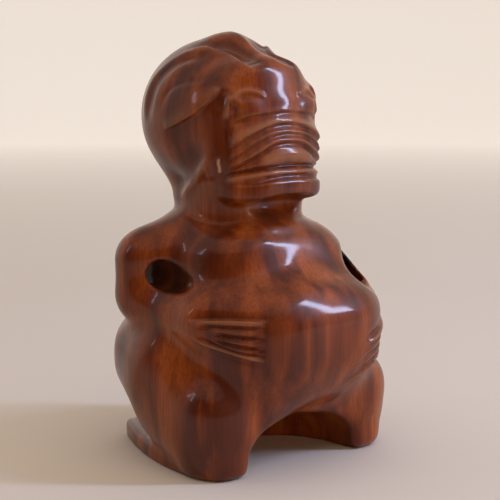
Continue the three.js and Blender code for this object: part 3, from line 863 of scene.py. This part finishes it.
@dataclass(frozen=True)
class PolishedRosewood:
    """Oceanic rosewood, gouged, sanded and rubbed with oil and wax.

    The eye sees a deep red-brown with fine upright streaks, darker mottled bands where the heartwood
    turns, amber light on the smoothest places and a wet-looking gloss over all of it. Over this colour,
    raised carved lines carry a pale tan that is mostly painted sheen, and the depths of the arm holes
    a near-black painted shade.
    """

    name: str = "rubbed_rosewood"
    amber: str = "#9e4f1d"
    red_brown: str = "#7d3812"
    dark_brown: str = "#55220b"
    streak: str = "#3f1404"
    # Pale tan on raised carved lines: mostly painted sheen, with some wood rubbed lighter.
    ridge_sheen_and_wear: str = "#b07a55"
    # Near black deep in the arm holes: painted shade.
    unlit_hole: str = "#0d0503"
    bare_wood: str = "#c9a184"
    streak_mm: float = 1.1
    streak_length_mm: float = 40.0
    ring_mm: float = 13.0
    mottle_mm: float = 34.0
    pore_mm: float = 0.55
    pore_length_mm: float = 5.0

    def build(self) -> bpy.types.Material:
        """Returns the wood as a material on Object coordinates."""
        material = bpy.data.materials.new(self.name)
        material.use_nodes = True
        tree = material.node_tree
        tree.nodes.clear()
        place = add_node(tree, "ShaderNodeTexCoord", {}, {}).outputs["Object"]

        def along_grain(width_mm: float, length_mm: float) -> bpy.types.NodeSocket:
            """Returns coordinates in which one unit is the width across and the length up."""
            scale = (1 / (width_mm * MM), 1 / (width_mm * MM), 1 / (length_mm * MM))
            mapping = add_node(tree, "ShaderNodeMapping", {"Scale": scale}, {"Vector": place})
            return mapping.outputs["Vector"]

        mottle = add_node(
            tree, "ShaderNodeTexNoise", {"Scale": 1.0, "Detail": 3.0, "Roughness": 0.55, "Distortion": 0.6},
            {"Vector": along_grain(self.mottle_mm, self.mottle_mm * 1.6)},
        ).outputs["Fac"]
        rings = add_node(
            tree, "ShaderNodeTexNoise", {"Scale": 1.0, "Detail": 2.0, "Roughness": 0.5, "Distortion": 0.3},
            {"Vector": along_grain(self.ring_mm, self.ring_mm * 9)},
        ).outputs["Fac"]
        streaks = add_node(
            tree, "ShaderNodeTexNoise", {"Scale": 1.0, "Detail": 2.0, "Roughness": 0.6},
            {"Vector": along_grain(self.streak_mm, self.streak_length_mm)},
        ).outputs["Fac"]
        pores = add_node(
            tree, "ShaderNodeTexNoise", {"Scale": 1.0, "Detail": 1.0, "Roughness": 0.5},
            {"Vector": along_grain(self.pore_mm, self.pore_length_mm)},
        ).outputs["Fac"]

        tone = add_node(tree, "ShaderNodeValToRGB", {}, {"Fac": rings})
        ramp = tone.color_ramp
        ramp.elements[0].position, ramp.elements[0].color = 0.36, linear(self.dark_brown)
        ramp.elements[1].position, ramp.elements[1].color = 0.66, linear(self.amber)
        middle = ramp.elements.new(0.5)
        middle.color = linear(self.red_brown)

        shade = add_node(
            tree, "ShaderNodeMapRange",
            {"From Min": 0.35, "From Max": 0.62, "To Min": 0.38, "To Max": 0.0}, {"Value": mottle},
        ).outputs["Result"]
        mottled = add_node(
            tree, "ShaderNodeMix", {"data_type": "RGBA", "blend_type": "MIX"}, {},
        )
        tree.links.new(shade, mottled.inputs[0])
        tree.links.new(tone.outputs["Color"], mottled.inputs[6])
        mottled.inputs[7].default_value = linear(self.dark_brown)

        fine = add_node(
            tree, "ShaderNodeMapRange",
            {"From Min": 0.36, "From Max": 0.56, "To Min": 0.32, "To Max": 0.0}, {"Value": streaks},
        ).outputs["Result"]
        streaked = add_node(tree, "ShaderNodeMix", {"data_type": "RGBA", "blend_type": "MIX"}, {})
        tree.links.new(fine, streaked.inputs[0])
        tree.links.new(mottled.outputs[2], streaked.inputs[6])
        streaked.inputs[7].default_value = linear(self.streak)

        def attribute(name: str) -> bpy.types.NodeSocket:
            """Returns one of the marks that the carver leaves on the mesh."""
            return add_node(tree, "ShaderNodeAttribute", {"attribute_name": name}, {}).outputs["Fac"]

        def tint(under: bpy.types.NodeSocket, amount: bpy.types.NodeSocket, colour: str) -> bpy.types.NodeSocket:
            """Returns a colour tinted towards another by an amount."""
            mix = add_node(tree, "ShaderNodeMix", {"data_type": "RGBA", "blend_type": "MIX"}, {})
            tree.links.new(amount, mix.inputs[0])
            tree.links.new(under, mix.inputs[6])
            mix.inputs[7].default_value = linear(colour)
            return mix.outputs[2]

        # Raised carved lines turn pale tan the higher they stand: mostly painted sheen, partly wood rubbed
        # lighter.
        ridge = add_node(
            tree, "ShaderNodeMapRange",
            {"From Min": 0.25, "From Max": 1.3, "To Min": 0.0, "To Max": 0.45}, {"Value": attribute("carved")},
        ).outputs["Result"]
        # Carved grooves darken towards the streak colour, the more the deeper they are.
        hollow = add_node(
            tree, "ShaderNodeMapRange",
            {"From Min": -0.4, "From Max": -1.5, "To Min": 0.0, "To Max": 0.6}, {"Value": attribute("carved")},
        ).outputs["Result"]
        colour = tint(streaked.outputs[2], ridge, self.ridge_sheen_and_wear)
        colour = tint(colour, hollow, self.streak)
        # Deep in the arm holes the colour goes near black: painted shade.
        colour = tint(colour, attribute("hole_shade_and_matt"), self.unlit_hole)
        nick = add_node(
            tree, "ShaderNodeMapRange",
            {"From Min": 0.5, "From Max": 1.0, "To Min": 0.0, "To Max": 0.8}, {"Value": attribute("bare")},
        ).outputs["Result"]
        colour = tint(colour, nick, self.bare_wood)

        bump = add_node(
            tree, "ShaderNodeBump", {"Strength": 0.12, "Distance": 0.00012}, {"Height": pores},
        ).outputs["Normal"]
        gloss = add_node(
            tree, "ShaderNodeMapRange",
            {"From Min": 0.3, "From Max": 0.7, "To Min": 0.3, "To Max": 0.44}, {"Value": mottle},
        ).outputs["Result"]
        gloss = add_node(
            tree, "ShaderNodeMath", {"operation": "ADD"}, {0: gloss, 1: attribute("hole_shade_and_matt")},
        ).outputs["Value"]
        shader = add_node(
            tree, "ShaderNodeBsdfPrincipled",
            {"Specular IOR Level": 0.2, "Coat Weight": 0.42, "Coat Roughness": 0.1},
            {"Base Color": colour, "Roughness": gloss, "Normal": bump},
        )
        add_node(tree, "ShaderNodeOutputMaterial", {}, {"Surface": shader.outputs["BSDF"]})
        return material


@dataclass
class Studio:
    """Pale floor and wall with painted glow and painted shade, soft daylight from two sides, and the camera at
    the photograph's angle.
    """

    azimuth: float = -40.0
    elevation: float = 9.0
    distance: float = 700.0
    target: Triple = (-2.34, 0.43, 105.0)
    focal_px: float = 1322.0
    centre_px: Pair = (244.4, 253.1)
    frame_px: float = 500.0
    sensor_mm: float = 36.0
    floor_radius: float = 2.2
    sweep: float = 0.9
    sweep_steps: int = 12
    wall_height: float = 2.6
    wall_sides: int = 64
    # Bearing where the room's paper glows most, and its glow strengths: painted light.
    glow_bearing: float = 140.0
    wall_glow_high: float = 0.45
    wall_glow_low: float = 0.02

    def camera(self) -> None:
        """Sets up the camera, with the small shift of the photograph's framing."""
        data = bpy.data.cameras.new("camera")
        data.sensor_width = self.sensor_mm
        data.lens = self.focal_px / self.frame_px * self.sensor_mm
        data.shift_x = (self.frame_px / 2 - self.centre_px[0]) / self.frame_px
        data.shift_y = (self.centre_px[1] - self.frame_px / 2) / self.frame_px
        data.clip_start, data.clip_end = 0.01, 20.0
        camera = bpy.data.objects.new("camera", data)
        azimuth, elevation = math.radians(self.azimuth), math.radians(self.elevation)
        back = Vector((
            math.sin(azimuth) * math.cos(elevation), -math.cos(azimuth) * math.cos(elevation),
            math.sin(elevation),
        ))
        camera.location = (Vector(self.target) + back * self.distance) * MM
        camera.rotation_mode = "QUATERNION"
        camera.rotation_quaternion = (-back).to_track_quat("-Z", "Y")
        bpy.context.scene.collection.objects.link(camera)
        bpy.context.scene.camera = camera

    def light(self, name: str, azimuth: float, elevation: float, distance: float,
              size: Pair, power: float, colour: str, shiny: bool = True) -> None:
        """Adds a soft area light that faces the figure.

        Args:
            name: Name of the light.
            azimuth: Bearing in degrees, 0 in front of the figure and 90 at its left.
            elevation: Degrees above the horizon.
            distance: Metres from the figure's middle.
            size: Width and height in metres.
            power: Watts.
            colour: sRGB hex colour.
            shiny: Whether the polish reflects the light itself.
        """
        data = bpy.data.lights.new(name, "AREA")
        data.shape = "RECTANGLE"
        data.size, data.size_y = size
        data.energy = power
        data.color = linear(colour)[:3]
        lamp = bpy.data.objects.new(name, data)
        a, e = math.radians(azimuth), math.radians(elevation)
        way = Vector((math.sin(a) * math.cos(e), -math.cos(a) * math.cos(e), math.sin(e)))
        lamp.location = Vector((0, 0, 0.1)) + way * distance
        lamp.rotation_mode = "QUATERNION"
        lamp.rotation_quaternion = (-way).to_track_quat("-Z", "Y")
        lamp.visible_glossy = shiny
        bpy.context.scene.collection.objects.link(lamp)

    def room(self) -> bpy.types.Object:
        """Returns a pale floor that curves up into a round wall, so that no edge shows, dressed in paper with
        painted glow and painted shade.
        """
        bm = bmesh.new()
        steps = range(self.sweep_steps + 1)
        turns = [math.pi / 2 * step / self.sweep_steps for step in steps]
        profile = [(0.0, 0.0)]
        profile += [
            (self.floor_radius + self.sweep * math.sin(turn), self.sweep * (1.0 - math.cos(turn)))
            for turn in turns
        ]
        profile.append((self.floor_radius + self.sweep, self.wall_height))
        verts = [bm.verts.new((radius, 0.0, height)) for radius, height in profile]
        edges = [bm.edges.new(pair) for pair in zip(verts, verts[1:])]
        bmesh.ops.spin(
            bm, geom=verts + edges, cent=(0, 0, 0), axis=(0, 0, 1), angle=2 * math.pi,
            steps=self.wall_sides, use_merge=True,
        )
        bmesh.ops.remove_doubles(bm, verts=bm.verts, dist=1e-5)
        bmesh.ops.recalc_face_normals(bm, faces=bm.faces)
        for face in bm.faces:
            face.smooth = True
        mesh = bpy.data.meshes.new("room")
        bm.to_mesh(mesh)
        bm.free()
        room = bpy.data.objects.new("room", mesh)
        bpy.context.scene.collection.objects.link(room)
        mesh.materials.append(self.paper())
        return room

    def paper(self) -> bpy.types.Material:
        """Returns matt pale paper that glows as painted light, most on the side behind the figure, and whose
        colour darkens on the camera's side as painted shade.
        """
        material = bpy.data.materials.new("paper_with_painted_glow")
        material.use_nodes = True
        tree = material.node_tree
        shader = tree.nodes["Principled BSDF"]
        shader.inputs["Emission Color"].default_value = linear("#f1ece5")
        shader.inputs["Roughness"].default_value = 0.9
        place = add_node(tree, "ShaderNodeTexCoord", {}, {}).outputs["Object"]
        azimuth = math.radians(self.glow_bearing)
        towards = add_node(tree, "ShaderNodeVectorMath", {"operation": "DOT_PRODUCT"}, {0: place})
        towards.inputs[1].default_value = (math.sin(azimuth), -math.cos(azimuth), 0.0)
        side = add_node(
            tree, "ShaderNodeMapRange",
            {"From Min": -0.8, "From Max": 2.2, "To Min": self.wall_glow_low, "To Max": self.wall_glow_high},
            {"Value": towards.outputs["Value"]},
        ).outputs["Result"]
        away = add_node(tree, "ShaderNodeVectorMath", {"operation": "LENGTH"}, {0: place}).outputs["Value"]
        far = add_node(
            tree, "ShaderNodeMapRange",
            {"From Min": 0.5, "From Max": self.floor_radius, "To Min": 0.0, "To Max": 1.0}, {"Value": away},
        ).outputs["Result"]
        # Painted light: the paper glows, strongest on the side behind the figure, fading to nothing near the
        # middle of the floor.
        glow = add_node(tree, "ShaderNodeMath", {"operation": "MULTIPLY"}, {0: side, 1: far}).outputs["Value"]
        tree.links.new(glow, shader.inputs["Emission Strength"])
        # Painted shade: the paper's colour turns dark grey-brown towards the wall on the camera's side.
        behind = add_node(
            tree, "ShaderNodeMapRange",
            {"From Min": -0.2, "From Max": -1.2, "To Min": 0.0, "To Max": 1.0},
            {"Value": towards.outputs["Value"]},
        ).outputs["Result"]
        paper = add_node(tree, "ShaderNodeMix", {"data_type": "RGBA", "blend_type": "MIX"}, {})
        tree.links.new(behind, paper.inputs[0])
        paper.inputs[6].default_value = linear("#d9d4cc")
        paper.inputs[7].default_value = linear("#4d4038")
        tree.links.new(paper.outputs[2], shader.inputs["Base Color"])
        return material

    def build(self) -> None:
        """Adds floor, lights, sky and camera."""
        self.room()
        bpy.context.scene.view_settings.view_transform = "Standard"
        self.light("window", 46.0, 30.0, 1.6, (0.13, 1.0), 15.0, "#c6d6ff")
        self.light("side window", -118.0, 30.0, 1.6, (0.1, 0.5), 0.8, "#dfe8ff")
        self.light("front fill", -12.0, 4.0, 1.8, (1.4, 1.2), 10.0, "#ffd3a6", shiny=False)
        self.light("ceiling", -10.0, 78.0, 1.8, (2.2, 2.2), 12.0, "#ffdfc0", shiny=False)
        world = bpy.data.worlds.new("pale room")
        world.use_nodes = True
        background = world.node_tree.nodes["Background"]
        background.inputs["Color"].default_value = linear("#f3e2d6")
        background.inputs["Strength"].default_value = 0.55
        bpy.context.scene.world = world


def main() -> None:
    """Carves and dresses the figure, then sets up the studio."""
    logging.basicConfig(level=logging.INFO, format="%(name)s: %(message)s")
    wood = PolishedRosewood().build()
    figure = Figure(Head(), Body(), EyeCarving(), MouthCarving(), JawCarving(), HandCarving())
    piece = figure.build(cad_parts[NODE])
    piece.data.materials.append(wood)
    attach(piece, "root")
    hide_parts(NODE)
    LOG.info("carved figure: %d vertices, %d faces", len(piece.data.vertices), len(piece.data.polygons))
    studio = Studio()
    studio.build()
    studio.camera()
    LOG.info("studio: floor, lights and camera")


if __name__ == "__main__":
    main()
